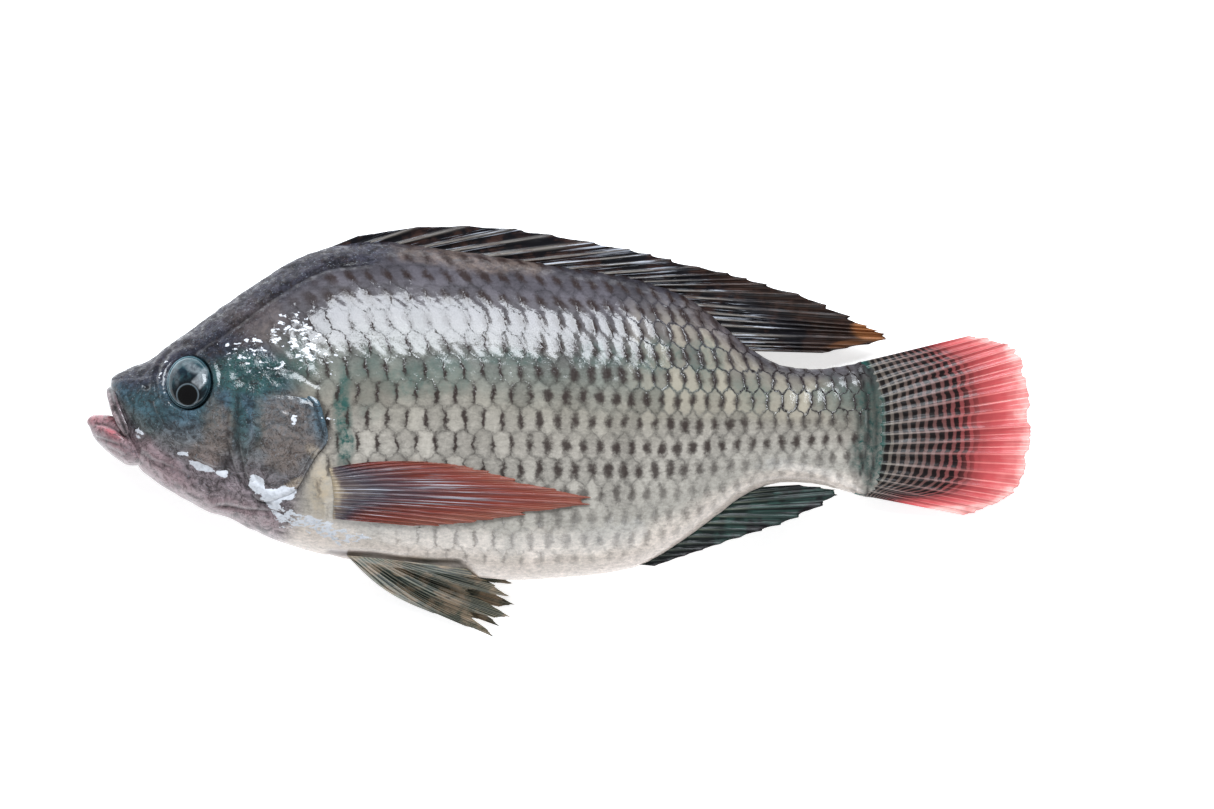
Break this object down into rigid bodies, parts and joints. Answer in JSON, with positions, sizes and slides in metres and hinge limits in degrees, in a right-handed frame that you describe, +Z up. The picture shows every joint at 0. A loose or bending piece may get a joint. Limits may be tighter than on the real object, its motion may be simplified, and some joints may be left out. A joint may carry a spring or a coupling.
{
  "type": "whole raw tilapia",
  "caption": "Whole raw tilapia, uncut and unscaled, lying on its right side with its fins folded back and its mouth slightly open.",
  "frame": {"origin": "on the surface the fish lies on, under the middle of its bounding box", "axes": "+X from the head to the tail, +Y from the belly to the back, +Z up, out of the left flank"},
  "size_m": [0.3006, 0.131, 0.0464],
  "materials": {
    "skin": "wet, satin to gloss",
    "gill_cover_skin": "wet, satin",
    "jaw_skin": "wet, satin",
    "eye_ball": "wet, gloss",
    "dark_fin": "wet, satin",
    "red_fin": "wet, satin",
    "tail_fin_skin": "wet, satin"
  },
  "bodies": {
    "root": {"body": "skin", "upper_jaw": "jaw_skin", "lower_jaw": "jaw_skin", "left_eye": "eye_ball", "right_eye": "eye_ball", "left_gill_cover": "gill_cover_skin", "right_gill_cover": "gill_cover_skin", "dorsal_fin": "dark_fin", "anal_fin": "dark_fin", "tail_fin": "tail_fin_skin", "left_pectoral_fin": "red_fin", "right_pectoral_fin": "red_fin", "left_pelvic_fin": "dark_fin", "right_pelvic_fin": "dark_fin"}
  },
  "joints": []
}
